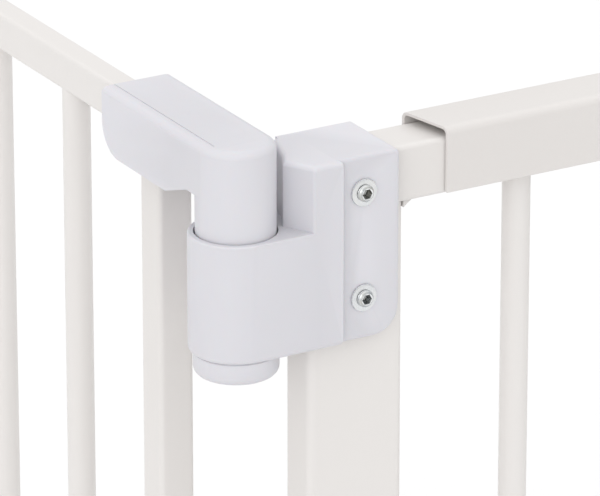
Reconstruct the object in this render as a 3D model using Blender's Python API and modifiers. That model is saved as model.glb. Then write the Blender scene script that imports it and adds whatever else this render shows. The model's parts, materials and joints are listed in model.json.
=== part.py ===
"""Pressure-fit safety gate for a doorway or a stair: a welded steel U-frame with a barred door leaf on
barrel hinges, and a barred side panel whose outer half telescopes along the frame's rails.

Units are metres, +Z up. +X runs along the frame, from the door towards the side panel. +Y points to the
side the door is open to. The origin lies on the floor, on the hinge axis. The door is shown open by 90
degrees, so that the leaf runs along +Y."""

import math

import bmesh
import bpy
from mathutils import Matrix, Vector

# ---- driving dimensions -----------------------------------------------------------------------------
TOP = 0.760  # top face of the upper hinge arm
CLEAR = 0.0003  # gap between pieces that touch
TUBE_WALL = 0.0012

BAR_R = 0.006
BAR_WALL = 0.0008
BAR_PITCH = 0.0720

BARREL_R = 0.0167  # hinge barrel, and half the width of the hinge arm
SOCKET_R = 0.0199
SOCKET_BORE_R = 0.01705
LIP_HOLE_R = 0.0142
JOURNAL_R = 0.0138
END_CAP_R = 0.0178
LIP_HEIGHT = 0.0045
PIN_R = 0.006

ARM_LENGTH = 0.0833
ARM_HEIGHT = 0.029
ARM_SKIN = 0.0045
ARM_CAVITY_START = 0.0445

DOOR_RAIL = (0.012, 0.0168)  # width, height
STILE = 0.0165
STILE_Y = 0.0584
RAIL_START = 0.047
LATCH_STILE_Y = 0.5744
FIRST_BAR_Y = 0.1371
DOOR_BARS = 6
BOTTOM_RAIL_LOW = 0.0525

BRACKET_TOP = TOP - 0.0108
BRACKET_RIM = TOP - 0.0393
BRACKET_LOW = TOP - 0.0912
BRACKET_END = 0.0674
BRACKET_STEP = 0.0399
BRACKET_BACK = 0.0146
PLATE_FRONT = -0.0175
BACK_SHELL = 0.0192
BOLT_X = 0.0500
UPPER_BOLTS = (TOP - 0.0266, TOP - 0.0728)
LOWER_RIM = 0.043
LOWER_LOW = 0.0212
LOWER_TOP = 0.070
LOWER_BOLTS = (0.0565, 0.033)

POST = (0.045, 0.020)
POST_START = 0.0287
THRESHOLD = (0.032, 0.018)  # depth, height
FRAME_RAIL = (0.0236, 0.0248)
FRAME_RAIL_TOP = TOP - 0.0127
FRAME_RAIL_END = 0.230
LOWER_RAIL_LOW = 0.030
SIDE_BARS = (0.1344, 0.1344 + BAR_PITCH)
OUTER_BAR_X = 0.2405

CHANNEL_START = 0.0923
CHANNEL_WIDTH = 0.0274
CHANNEL_HEIGHT = 0.0287
CHANNEL_WALL = 0.0015
CHANNEL_TOP = TOP - 0.0079
WALL_POST = (0.290, 0.315)
WALL_POST_DEPTH = 0.024

LATCH_POST = (-0.650, -0.626)
KEEPER = (-0.654, -0.619)
KEEPER_LOW = TOP - 0.060
LATCH_POST_TOP = TOP - 0.032
HOUSING = (0.535, 0.615)
HOUSING_LOW = TOP - 0.042
BOLT_CENTRE_Z = TOP - 0.018

SPINDLE_R = 0.00475
SPINDLE_HOLE_R = 0.0051
WHEEL_R = 0.019
WHEEL_WIDTH = 0.011
CUP_R = 0.021
SPINDLE_HEIGHTS = {"lower": 0.100, "upper": 0.660}

MATERIALS = {
    "steel": ((0.80, 0.77, 0.74), 0.38, 0.0),
    "plastic": ((0.74, 0.73, 0.78), 0.42, 0.0),
    "zinc": ((0.62, 0.62, 0.60), 0.30, 1.0),
    "rubber": ((0.10, 0.10, 0.11), 0.80, 0.0),
}


def new_collection(name):
    collection = bpy.data.collections.new(name)
    bpy.context.scene.collection.children.link(collection)
    return collection


for old in list(bpy.data.objects):
    bpy.data.objects.remove(old, do_unlink=True)
PARTS = new_collection("safety_gate")
CUTTERS = new_collection("cutters")
CUTTERS.hide_render = True


# ---- shape helpers ----------------------------------------------------------------------------------
def rounded(corners, steps=3):
    """The outline through (u, v, radius) corners, each turned into an arc."""
    outline = []
    for i, (u, v, radius) in enumerate(corners):
        point = Vector((u, v))
        if not radius:
            outline.append(point)
            continue
        before = Vector(corners[i - 1][:2]) - point
        after = Vector(corners[(i + 1) % len(corners)][:2]) - point
        before.normalize()
        after.normalize()
        half = before.angle(after) / 2
        centre = point + (before + after).normalized() * radius / math.sin(half)
        start = point + before * radius / math.tan(half) - centre
        turn = -start.angle_signed(point + after * radius / math.tan(half) - centre)
        outline += [centre + Matrix.Rotation(turn * k / steps, 2) @ start for k in range(steps + 1)]
    return outline


def rectangle(u0, u1, v0, v1, radius=0.0, steps=2):
    return rounded([(u0, v0, radius), (u1, v0, radius), (u1, v1, radius), (u0, v1, radius)], steps)


def circle(u, v, radius, steps=20):
    turns = [math.tau * k / steps for k in range(steps)]
    return [Vector((u + radius * math.cos(a), v + radius * math.sin(a))) for a in turns]


def placed(name, mesh, helper=False):
    piece = bpy.data.objects.new(name, mesh)
    (CUTTERS if helper else PARTS).objects.link(piece)
    if helper:
        piece.hide_render = True
        piece.display_type = "WIRE"
    return piece


# A prism's outline is drawn in these two axes and extruded along the third.
PLANES = {
    "Z": Matrix.Identity(4),
    "X": Matrix(((0, 0, 1, 0), (1, 0, 0, 0), (0, 1, 0, 0), (0, 0, 0, 1))),  # outline in (y, z)
    "Y": Matrix(((1, 0, 0, 0), (0, 0, 1, 0), (0, 1, 0, 0), (0, 0, 0, 1))),  # outline in (x, z)
}


def prism(name, outline, low, high, axis="Z", hole=None, helper=False):
    """An outline, with a hole if there is one, extruded from low to high along an axis."""
    curve = bpy.data.curves.new(name, "CURVE")
    curve.dimensions = "2D"
    curve.fill_mode = "BOTH"
    curve.extrude = (high - low) / 2
    for loop in filter(None, (outline, hole)):
        spline = curve.splines.new("POLY")
        spline.points.add(len(loop) - 1)
        spline.use_cyclic_u = True
        for point, (u, v) in zip(spline.points, loop):
            point.co = (u, v, 0, 1)
    drawn = bpy.data.objects.new(name + "_outline", curve)
    CUTTERS.objects.link(drawn)
    bpy.context.view_layer.update()
    mesh = bpy.data.meshes.new_from_object(drawn.evaluated_get(bpy.context.evaluated_depsgraph_get()))
    bpy.data.objects.remove(drawn, do_unlink=True)
    mesh.transform(PLANES[axis] @ Matrix.Translation((0, 0, (high + low) / 2)))
    welded = bmesh.new()
    welded.from_mesh(mesh)
    bmesh.ops.remove_doubles(welded, verts=welded.verts, dist=1e-6)
    bmesh.ops.recalc_face_normals(welded, faces=welded.faces)
    welded.to_mesh(mesh)
    welded.free()
    return placed(name, mesh, helper)


def block(name, x, y, z, helper=False):
    """A box between two values of each coordinate."""
    return prism(name, rectangle(*x, *y), *z, helper=helper)


def tube(name, size, wall, low, high, axis, at, corner=0.002):
    """A straight hollow tube of rectangular section, open at its ends."""
    (half_u, half_v), (u, v) = (size[0] / 2, size[1] / 2), at
    inner_u, inner_v = half_u - wall, half_v - wall
    outer = rectangle(u - half_u, u + half_u, v - half_v, v + half_v, corner)
    inner = rectangle(u - inner_u, u + inner_u, v - inner_v, v + inner_v, max(corner - wall, 0.0004), 1)
    return prism(name, outer, low, high, axis, inner)


def turned(name, profile, direction, at, steps=24, helper=False):
    """A solid of revolution. The profile's (radius, height) points run from its top to its bottom."""
    mesh = bpy.data.meshes.new(name)
    drawn = bmesh.new()
    line = [drawn.verts.new((radius, 0, height)) for radius, height in profile]
    for start, end in zip(line, line[1:]):
        drawn.edges.new((start, end))
    if profile[0][0] and profile[-1][0]:
        drawn.edges.new((line[-1], line[0]))
    drawn.to_mesh(mesh)
    drawn.free()
    piece = placed(name, mesh, helper)
    screw = piece.modifiers.new("turn", "SCREW")
    screw.steps = screw.render_steps = steps
    screw.use_merge_vertices = True
    screw.merge_threshold = 1e-5
    piece.location = at
    piece.rotation_euler = Vector((0, 0, 1)).rotation_difference(Vector(direction)).to_euler()
    return piece


def rod(radius, low, high):
    """The profile of a plain cylinder."""
    return [(0, high), (radius, high), (radius, low), (0, low)]


def ring(inner, outer, low, high):
    return [(inner, high), (outer, high), (outer, low), (inner, low)]


def combine(piece, operation, others):
    for other in others:
        step = piece.modifiers.new(other.name, "BOOLEAN")
        step.operation = operation
        step.object = other


def cut(piece, *others):
    combine(piece, "DIFFERENCE", others)


def join(piece, *others):
    combine(piece, "UNION", others)


def soften(piece, width, segments=2, angle=40):
    edge = piece.modifiers.new("soft_edges", "BEVEL")
    edge.width = width
    edge.segments = segments
    edge.limit_method = "ANGLE"
    edge.angle_limit = math.radians(angle)
    edge.use_clamp_overlap = True


def finish(piece, kind):
    """Gives a piece its own material, and smooth shading with sharp edges."""
    colour, roughness, metallic = MATERIALS[kind]
    material = bpy.data.materials.new(piece.name)
    material.use_nodes = True
    shader = material.node_tree.nodes["Principled BSDF"]
    shader.inputs["Base Color"].default_value = (*colour, 1)
    shader.inputs["Roughness"].default_value = roughness
    shader.inputs["Metallic"].default_value = metallic
    piece.data.materials.clear()
    piece.data.materials.append(material)
    piece.data.shade_smooth()
    piece.data.set_sharp_from_angle(angle=math.radians(35))
    return piece


def pivot(name, at, pieces, parent=None):
    """An empty on a joint's axis, which carries the pieces that move about it."""
    axis = bpy.data.objects.new(name, None)
    PARTS.objects.link(axis)
    axis.location = at
    axis.parent = parent
    bpy.context.view_layer.update()
    if parent:
        axis.matrix_parent_inverse = parent.matrix_world.inverted()
        bpy.context.view_layer.update()
    for piece in pieces:
        piece.parent = axis
        piece.matrix_parent_inverse = axis.matrix_world.inverted()
    return axis


# ---- hinge brackets on the post ---------------------------------------------------------------------
def bracket(level, low, rim, top, bolts, capped):
    """The moulded bracket that wraps the post and holds the hinge socket, its back shell and its bolts.
    A capped one covers the post's end, and another lets the post through."""
    body_front = -SOCKET_R
    below = prism(level + "_bracket", circle(0, 0, SOCKET_R, 40), low, rim)
    foot = rounded([(0, body_front, 0), (BRACKET_STEP, body_front, 0.001), (BRACKET_STEP, BRACKET_BACK, 0),
                    (0.022, BRACKET_BACK, 0.003), (0.010, SOCKET_R - 0.003, 0.004)])
    raised = rounded([(0.0258, body_front, 0.0012), (BRACKET_STEP, body_front, 0.001),
                      (BRACKET_STEP, BRACKET_BACK, 0), (0.0285, BRACKET_BACK, 0.003), (0.0222, 0.001, 0.003),
                      (0.0183, -0.0063, 0.001)])
    plate = rounded([(0.030, low, 0), (BRACKET_END, low, 0.012), (BRACKET_END, top, 0.0015), (0.030, top, 0)],
                    5)
    join(below,
         prism(level + "_foot", foot, low, rim, helper=True),
         prism(level + "_raised", raised, low + 0.001, top, helper=True),
         prism(level + "_plate", plate, PLATE_FRONT, BRACKET_BACK, "Y", helper=True))
    cavity_top = top - 0.002 - CLEAR if capped else top + 0.01
    cut(below,
        turned(level + "_bore", rod(SOCKET_BORE_R, low + LIP_HEIGHT, rim + 0.01), (0, 0, 1), (0, 0, 0), 40, True),
        turned(level + "_lip", rod(LIP_HOLE_R, low - 0.01, rim), (0, 0, 1), (0, 0, 0), 40, True),
        block(level + "_cavity", (POST_START - CLEAR, 0.080), (-POST[1] / 2 - CLEAR, POST[1] / 2 + CLEAR),
              (low - 0.01, cavity_top), True))
    shell = prism(level + "_bracket_back",
                  rounded([(0.024, low + 0.001, 0.003), (BRACKET_END - 0.001, low + 0.001, 0.010),
                           (BRACKET_END - 0.001, top - 0.001, 0.003), (0.024, top - 0.001, 0.003)]),
                  BRACKET_BACK + CLEAR, BACK_SHELL, "Y")
    for number, height in enumerate(bolts, 1):
        shank_hole = turned(f"{level}_hole_{number}", rod(0.0024, -0.05, 0.05), (0, 1, 0), (BOLT_X, 0, height),
                            14, True)
        nut_pocket = turned(f"{level}_pocket_{number}", rod(0.0046, BACK_SHELL - 0.0030, 0.05), (0, 1, 0),
                            (BOLT_X, 0, height), 6, True)
        cut(below, shank_hole)
        cut(shell, shank_hole, nut_pocket)
        fasteners(level, number, (BOLT_X, 0, height), shank_hole)
    finish(shell, "plastic")
    return finish(below, "plastic")


def fasteners(level, number, at, hole):
    """One bolt through the bracket and the post, its washer and its nut."""
    seat = -PLATE_FRONT + CLEAR
    washer_top = seat + 0.0009
    washer = turned(f"{level}_washer_{number}", ring(0.0023, 0.0059, seat, washer_top), (0, -1, 0), at)
    under = washer_top + CLEAR
    head = [(0, under + 0.0022), (0.0022, under + 0.0022), (0.0033, under + 0.0014), (0.0037, under),
            (0.0020, under), (0.0020, -BACK_SHELL - 0.0012), (0, -BACK_SHELL - 0.0012)]
    screw = turned(f"{level}_bolt_{number}", head, (0, -1, 0), at, 18)
    socket = turned(f"{level}_key_{number}", rod(0.0015, under + 0.0006, under + 0.01), (0, -1, 0), at, 6, True)
    cut(screw, socket)
    nut = turned(f"{level}_nut_{number}", ring(0.0024, 0.0040, BACK_SHELL - 0.0027, BACK_SHELL + 0.0004), (0, 1, 0), at, 6)
    for piece in (washer, screw, nut):
        finish(piece, "zinc")
    cut(bpy.data.objects["hinge_post"], hole)


# ---- the fixed U-frame and the fixed half of the side panel -----------------------------------------
def frame():
    hinge_post_x = POST_START + POST[0] / 2
    finish(tube("threshold_bar", THRESHOLD, TUBE_WALL, LATCH_POST[0] - 0.002, POST_START + POST[0] + 0.002, "X",
                (0, THRESHOLD[1] / 2), 0.003), "steel")
    foot = THRESHOLD[1] + CLEAR
    finish(tube("hinge_post", POST, 0.0015, foot, FRAME_RAIL_TOP - 0.0008, "Z", (hinge_post_x, 0), 0.003),
           "steel")
    latch_x = sum(LATCH_POST) / 2
    latch_post = tube("latch_post", (LATCH_POST[1] - LATCH_POST[0], POST[1]), 0.0015, foot, LATCH_POST_TOP, "Z",
                      (latch_x, 0), 0.003)
    finish(latch_post, "steel")
    rail_start = POST_START + POST[0] + CLEAR
    upper_z = FRAME_RAIL_TOP - FRAME_RAIL[1] / 2
    lower_z = LOWER_RAIL_LOW + FRAME_RAIL[1] / 2
    for name, z in (("inner_top_rail", upper_z), ("inner_bottom_rail", lower_z)):
        finish(tube(name, FRAME_RAIL, TUBE_WALL, rail_start, FRAME_RAIL_END, "X", (0, z)), "steel")
    bar_low = LOWER_RAIL_LOW + FRAME_RAIL[1] + CLEAR
    bar_high = FRAME_RAIL_TOP - FRAME_RAIL[1] - CLEAR
    for number, x in enumerate(SIDE_BARS, 1):
        round_bar(f"side_bar_{number}", (x, 0), bar_low, bar_high)
    bracket("upper", BRACKET_LOW, BRACKET_RIM, BRACKET_TOP, UPPER_BOLTS, True)
    bracket("lower", LOWER_LOW, LOWER_RIM, LOWER_TOP, LOWER_BOLTS, False)
    keeper()
    return latch_post


def round_bar(name, at, low, high):
    outer = circle(*at, BAR_R)
    inner = circle(*at, BAR_R - BAR_WALL, 12)
    return finish(prism(name, outer, low, high, hole=inner), "steel")


def keeper():
    """The cap on the latch post, with the pocket that the door's bolt enters."""
    middle = sum(KEEPER) / 2
    half = (KEEPER[1] - KEEPER[0]) / 2
    cap = prism("latch_keeper", rectangle(middle - half, middle + half, -0.0145, 0.0145, 0.004),
                KEEPER_LOW, TOP - 0.001)
    soften(cap, 0.0015)
    gap = CLEAR
    cut(cap,
        block("keeper_post_hole", (LATCH_POST[0] - gap, LATCH_POST[1] + gap),
              (-POST[1] / 2 - gap, POST[1] / 2 + gap), (KEEPER_LOW - 0.01, LATCH_POST_TOP + gap), True),
        block("keeper_pocket", (KEEPER[1] - 0.014, KEEPER[1] + 0.01), (-0.0075, 0.0075),
              (BOLT_CENTRE_Z - 0.0075, BOLT_CENTRE_Z + 0.0075), True))
    return finish(cap, "plastic")


# ---- door leaf --------------------------------------------------------------------------------------
def hinge_arm(level, low, high, skin_up, journal):
    """The moulded arm that caps the end of a door rail, with the barrel that turns in the socket.
    skin_up tells whether the arm is closed above, as the upper one is, or below."""
    big, small = 0.014, 0.003
    far_low, far_high = (big, small) if skin_up else (small, big)
    side = rounded([(0, low, 0), (ARM_LENGTH, low, far_low), (ARM_LENGTH, high, far_high), (0, high, 0)], 5)
    arm = prism(level + "_hinge_arm", side, -BARREL_R, BARREL_R, "X")
    join(arm, turned(level + "_barrel", journal, (0, 0, 1), (0, 0, 0), 40, True))
    if skin_up:
        inside = (low - 0.01, high - ARM_SKIN)
    else:
        inside = (low + ARM_SKIN, high + 0.01)
    half = STILE / 2 + CLEAR
    cut(arm, block(level + "_arm_cavity", (-half, half), (ARM_CAVITY_START, ARM_LENGTH + 0.01), inside, True))
    return finish(arm, "plastic")


def door():
    """The leaf: rails, stiles, bars, hinge arms, and the latch housing."""
    pieces = []
    rail_low = TOP - ARM_SKIN - CLEAR - DOOR_RAIL[1]
    stile_low = BOTTOM_RAIL_LOW + DOOR_RAIL[1] + CLEAR
    stile_high = rail_low - CLEAR
    rail_end = LATCH_STILE_Y + STILE / 2
    for name, low in (("door_top_rail", rail_low), ("door_bottom_rail", BOTTOM_RAIL_LOW)):
        middle = low + DOOR_RAIL[1] / 2
        rail = prism(name, rectangle(-DOOR_RAIL[0] / 2, DOOR_RAIL[0] / 2, low, low + DOOR_RAIL[1], 0.0018),
                     RAIL_START, rail_end, "Y",
                     rectangle(-DOOR_RAIL[0] / 2 + TUBE_WALL, DOOR_RAIL[0] / 2 - TUBE_WALL,
                               middle - DOOR_RAIL[1] / 2 + TUBE_WALL, middle + DOOR_RAIL[1] / 2 - TUBE_WALL))
        pieces.append(finish(rail, "steel"))
    for name, y in (("hinge_stile", STILE_Y), ("latch_stile", LATCH_STILE_Y)):
        stile = tube(name, (STILE, STILE), TUBE_WALL, stile_low, stile_high, "Z", (0, y), 0.0025)
        pieces.append(finish(stile, "steel"))
    for number in range(DOOR_BARS):
        at = (0, FIRST_BAR_Y + number * BAR_PITCH)
        pieces.append(round_bar(f"door_bar_{number + 1}", at, stile_low, stile_high))

    foot = BRACKET_LOW + LIP_HEIGHT + CLEAR
    upper = hinge_arm("upper", TOP - ARM_HEIGHT, TOP, True,
                      [(0, TOP), (BARREL_R, TOP), (BARREL_R, foot), (0, foot)])
    cut(upper, turned("pin_bore", rod(PIN_R + CLEAR, 0, TOP - 0.008), (0, 0, 1), (0, 0, 0), 24, True))
    pin_low = foot + 0.004
    pin = turned("hinge_pin", ring(0.0022, PIN_R, pin_low, TOP - 0.0085), (0, 0, 1), (0, 0, 0), 24)
    cap_high = foot - CLEAR
    flange = BRACKET_LOW - CLEAR
    cap_low = BRACKET_LOW - 0.0104
    cap = turned("hinge_end_cap",
                 [(0, cap_high), (JOURNAL_R, cap_high), (JOURNAL_R, flange), (END_CAP_R, flange),
                  (END_CAP_R, cap_low + 0.003), (END_CAP_R - 0.003, cap_low), (0, cap_low)],
                 (0, 0, 1), (0, 0, 0), 36)
    lower_low = BOTTOM_RAIL_LOW - ARM_SKIN - CLEAR
    shoulder = LOWER_LOW + LIP_HEIGHT + CLEAR
    lower = hinge_arm("lower", lower_low, lower_low + ARM_HEIGHT, False,
                      [(0, lower_low + ARM_HEIGHT), (BARREL_R, lower_low + ARM_HEIGHT), (BARREL_R, shoulder),
                       (JOURNAL_R, shoulder), (JOURNAL_R, LOWER_LOW + 0.0004), (0, LOWER_LOW + 0.0004)])
    pieces += [upper, lower, finish(pin, "zinc"), finish(cap, "plastic")]
    pieces.append(latch_housing())
    return pieces


BUTTON_AT = (-BARREL_R, HOUSING[1] - 0.0175, TOP - 0.0315)


def latch_housing():
    """The moulded handle on the free end of the top rail, open below."""
    start, end = HOUSING
    side = rounded([(start, TOP - 0.0275, 0.010), (LATCH_STILE_Y - 0.012, TOP - 0.0275, 0.002),
                    (LATCH_STILE_Y - 0.012, HOUSING_LOW, 0.002), (end, HOUSING_LOW, 0.004), (end, TOP, 0.004),
                    (start, TOP, 0.003)])
    housing = prism("latch_housing", side, -BARREL_R, BARREL_R, "X")
    half = STILE / 2 + CLEAR
    tunnel = BOLT_CENTRE_Z - 0.0063, BOLT_CENTRE_Z + 0.0063
    cut(housing,
        block("housing_cavity", (-half, half), (start - 0.01, LATCH_STILE_Y + half),
              (HOUSING_LOW - 0.01, TOP - ARM_SKIN), True),
        block("bolt_tunnel", (-0.0063, 0.0063), (LATCH_STILE_Y, end + 0.01), tunnel, True),
        block("slider_slot", (-0.0030, 0.0030), (end - 0.0235, end - 0.0035), (BOLT_CENTRE_Z, TOP + 0.01), True),
        turned("button_hole", rod(0.0064, -0.01, 0.0105), (1, 0, 0), BUTTON_AT, 28, True))
    return finish(housing, "plastic")


def latch():
    """The sliding bolt with its thumb slider, and the push button beside it."""
    tail, tip = HOUSING[1] - 0.0265, HOUSING[1] - 0.0025
    bolt = prism("latch_bolt",
                 rounded([(tail, BOLT_CENTRE_Z - 0.006, 0), (tip, BOLT_CENTRE_Z - 0.006, 0.002),
                          (tip, BOLT_CENTRE_Z + 0.006, 0.002), (tail, BOLT_CENTRE_Z + 0.006, 0)]),
                 -0.006, 0.006, "X")
    slider_y = HOUSING[1] - 0.0195
    neck = block("latch_slider", (-0.0026, 0.0026), (slider_y - 0.0035, slider_y + 0.0035),
                 (BOLT_CENTRE_Z + 0.006 + CLEAR, TOP + 0.002))
    pad = prism("slider_pad",
                rounded([(slider_y - 0.0065, TOP + CLEAR, 0.001), (slider_y + 0.0065, TOP + CLEAR, 0.001),
                         (slider_y + 0.0055, TOP + 0.0042, 0.0015), (slider_y - 0.0055, TOP + 0.0042, 0.0015)]),
                -0.0075, 0.0075, "X", helper=True)
    join(neck, pad)
    button = turned("release_button", [(0, 0.0022), (0.0044, 0.0022), (0.0060, 0.0014), (0.0060, -0.0062),
                                       (0, -0.0062)], (-1, 0, 0), BUTTON_AT, 28)
    for piece, kind in ((bolt, "plastic"), (neck, "plastic"), (button, "plastic")):
        finish(piece, kind)
    return [bolt, neck], button


# ---- telescoping half of the side panel --------------------------------------------------------------
def channel(name, base, direction):
    """A folded channel that sleeves a rail: closed at its base, with its legs pointing in direction."""
    half = CHANNEL_WIDTH / 2
    inner = half - CHANNEL_WALL
    tip = base + direction * CHANNEL_HEIGHT
    floor = base + direction * CHANNEL_WALL
    outline = rounded([(-half, base, 0.003), (half, base, 0.003), (half, tip, 0), (inner, tip, 0),
                       (inner, floor, 0.0015), (-inner, floor, 0.0015), (-inner, tip, 0), (-half, tip, 0)], 3)
    return finish(prism(name, outline, CHANNEL_START, WALL_POST[0] - CLEAR, "X"), "steel")


def extension():
    lower_base = LOWER_RAIL_LOW - 0.0048
    upper = channel("outer_top_channel", CHANNEL_TOP, -1)
    lower = channel("outer_bottom_channel", lower_base, 1)
    bar = round_bar("outer_bar", (OUTER_BAR_X, 0), lower_base + CHANNEL_WALL + CLEAR,
                    CHANNEL_TOP - CHANNEL_WALL - CLEAR)
    post_x = sum(WALL_POST) / 2
    size = (WALL_POST[1] - WALL_POST[0], WALL_POST_DEPTH)
    post = finish(tube("wall_post", size, 0.0015, 0.004, TOP - 0.0125, "Z", (post_x, 0), 0.003), "steel")
    caps = []
    for name, low, high, plug in (("wall_post_cap", TOP - 0.0122, TOP - 0.009, -0.012),
                                  ("wall_post_foot", 0.001, 0.0037, 0.012)):
        cap = prism(name, rectangle(WALL_POST[0] + 0.0002, WALL_POST[1], -size[1] / 2, size[1] / 2, 0.003),
                    low, high)
        inner_u, inner_v = size[0] / 2 - 0.0019, size[1] / 2 - 0.0019
        stem_low, stem_high = (low + plug, high - 0.001) if plug < 0 else (low + 0.001, high + plug)
        join(cap, prism(name + "_stem",
                        rectangle(post_x - inner_u, post_x + inner_u, -inner_v, inner_v, 0.003),
                        stem_low, stem_high, helper=True))
        caps.append(finish(cap, "plastic"))
    return [upper, lower, bar, post, *caps], post


# ---- pressure spindles ------------------------------------------------------------------------------
def spindle(side, level, face, outward, post):
    """A threaded spindle in a post, the adjuster wheel on it, and the cup that presses on the wall."""
    name = f"{side}_{level}"
    at = (face, 0, SPINDLE_HEIGHTS[level])
    direction = (outward, 0, 0)
    cut(post, turned(f"{name}_hole", rod(SPINDLE_HOLE_R, -0.004, 0.004), direction, at, 20, True))
    rod_piece = turned(f"{name}_spindle", rod(SPINDLE_R, -0.0195, 0.0195), direction, at, 16)
    wheel_low = 0.0004
    wheel = turned(f"{name}_wheel",
                   [(SPINDLE_HOLE_R, wheel_low + WHEEL_WIDTH), (WHEEL_R - 0.0015, wheel_low + WHEEL_WIDTH),
                    (WHEEL_R, wheel_low + WHEEL_WIDTH - 0.0015), (WHEEL_R, wheel_low + 0.0015),
                    (WHEEL_R - 0.0015, wheel_low), (SPINDLE_HOLE_R, wheel_low)], direction, at, 28)
    grips = 6
    for k in range(grips):
        turn = Matrix.Rotation(math.tau * k / grips, 3, "X")
        groove = Vector(at) + turn @ Vector((0, 0, WHEEL_R + 0.0028))
        cut(wheel, turned(f"{name}_grip_{k}", rod(0.0050, -0.02, 0.04), direction, groove, 12, True))
    cup = turned(f"{name}_cup",
                 [(0, 0.0300), (CUP_R, 0.0300), (CUP_R, 0.0265), (0.0085, 0.0215), (0.0085, 0.0165),
                  (SPINDLE_R + CLEAR, 0.0165), (SPINDLE_R + CLEAR, 0.0198), (0, 0.0198)], direction, at, 32)
    finish(rod_piece, "zinc")
    finish(wheel, "plastic")
    finish(cup, "rubber")
    return wheel, [rod_piece, cup]


def build():
    latch_post = frame()
    leaf = pivot("door_axis", (0, 0, 0), door())
    sliding, button = latch()
    pivot("latch_axis", (0, HOUSING[1], BOLT_CENTRE_Z), sliding, leaf)
    pivot("button_axis", BUTTON_AT, [button], leaf)
    outer, wall_post = extension()
    panel = pivot("extension_axis", (CHANNEL_START, 0, 0), outer)
    for side, face, outward, post, parent in (("latch_side", LATCH_POST[0], -1, latch_post, None),
                                              ("panel_side", WALL_POST[1], 1, wall_post, panel)):
        for level, height in SPINDLE_HEIGHTS.items():
            wheel, pushed = spindle(side, level, face, outward, post)
            pivot(f"{side}_{level}_wheel_axis", (face, 0, height), [wheel], parent)
            pivot(f"{side}_{level}_spindle_axis", (face, 0, height), pushed, parent)


build()
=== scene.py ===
"""Looks of the safety gate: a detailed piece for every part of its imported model, with the materials, the
light and the camera.

Units are metres, +Z up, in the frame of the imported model: +X runs along the side panel, +Y along the open
door leaf, and the hinge axis is the Z axis. Each piece takes its place and size from the node it stands
for. Lengths that the nodes don't give are named below."""

import json
import math

import bmesh
import bpy
from mathutils import Matrix, Vector

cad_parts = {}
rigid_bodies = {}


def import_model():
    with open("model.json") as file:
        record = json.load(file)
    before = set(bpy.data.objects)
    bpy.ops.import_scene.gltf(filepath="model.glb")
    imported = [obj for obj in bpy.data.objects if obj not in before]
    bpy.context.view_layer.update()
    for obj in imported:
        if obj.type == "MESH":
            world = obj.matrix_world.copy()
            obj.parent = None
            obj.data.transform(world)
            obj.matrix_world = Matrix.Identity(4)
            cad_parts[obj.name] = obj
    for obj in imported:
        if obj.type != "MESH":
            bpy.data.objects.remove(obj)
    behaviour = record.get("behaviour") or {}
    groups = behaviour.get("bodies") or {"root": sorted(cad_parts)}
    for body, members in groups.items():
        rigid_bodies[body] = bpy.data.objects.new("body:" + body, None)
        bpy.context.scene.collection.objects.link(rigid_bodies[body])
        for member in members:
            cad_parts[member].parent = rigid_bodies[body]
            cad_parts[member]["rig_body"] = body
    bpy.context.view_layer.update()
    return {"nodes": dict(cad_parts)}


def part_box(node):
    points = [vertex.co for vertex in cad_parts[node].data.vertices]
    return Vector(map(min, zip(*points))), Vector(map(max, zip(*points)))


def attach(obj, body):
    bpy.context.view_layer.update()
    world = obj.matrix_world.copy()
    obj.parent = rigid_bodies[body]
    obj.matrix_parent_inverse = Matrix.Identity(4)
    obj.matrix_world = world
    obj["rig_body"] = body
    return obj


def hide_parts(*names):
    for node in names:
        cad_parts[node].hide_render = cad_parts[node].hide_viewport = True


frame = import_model()

TUBE_WALL = 0.0012
BAR_WALL = 0.0008
POST_WALL = 0.0015
POST_CORNER = 0.003
HINGE_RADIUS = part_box("upper_hinge_arm")[1].x
SOCKET_BORE = 0.0174
JOURNAL = 0.0138  # radius of what turns in a socket's lip
LIP_HOLE = 0.0142
LIP_HEIGHT = 0.0045
BOLT_HOLE = 0.0024
SPINDLE_HOLE = 0.0051
SKIN = 0.0045  # wall of the mouldings over a rail
SHOULDER = 0.0026  # rounding of their long edges
POST_GAP = 0.0003
HAIR = 0.00002  # keeps two faces out of one plane where pieces are joined
PAST = 0.01  # how far a cutter runs beyond what it cuts
UP = Vector((0, 0, 1))


def centre_of(node):
    low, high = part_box(node)
    return (low + high) / 2


# ---- outlines ---------------------------------------------------------------------------------------
LEAST_RADIUS = 0.00003


def arcs(corners, steps):
    """The outline through (u, v, radius) corners, each turned into an arc."""
    outline = []
    for i, (u, v, radius) in enumerate(corners):
        point = Vector((u, v))
        if not radius:
            outline.append(point)
            continue
        before = (Vector(corners[i - 1][:2]) - point).normalized()
        after = (Vector(corners[(i + 1) % len(corners)][:2]) - point).normalized()
        half = before.angle(after) / 2
        centre = point + (before + after).normalized() * radius / math.sin(half)
        start = point + before * radius / math.tan(half) - centre
        turn = -start.angle_signed(point + after * radius / math.tan(half) - centre)
        outline += [centre + Matrix.Rotation(turn * k / steps, 2) @ start for k in range(steps + 1)]
    return outline


def section(corners, steps=6):
    """A closed outline through (u, v, radius) corners, as a function of how far inside them it lies."""
    spots = [Vector(corner[:2]) for corner in corners]
    side = math.copysign(1, sum(a.cross(b) for a, b in zip(spots, spots[1:] + spots[:1])))

    def outline(shrink=0.0):
        moved = []
        for i, (*_, radius) in enumerate(corners):
            arriving = (spots[i] - spots[i - 1]).normalized()
            leaving = (spots[(i + 1) % len(spots)] - spots[i]).normalized()
            along = (arriving + leaving).normalized()
            inward = Vector((-along.y, along.x)) * side / along.dot(leaving)
            convex = math.copysign(1, arriving.cross(leaving) * side)
            moved.append((*(spots[i] + inward * shrink),
                          max(radius - convex * shrink, LEAST_RADIUS) if radius else 0))
        return arcs(moved, steps)

    return outline


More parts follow.
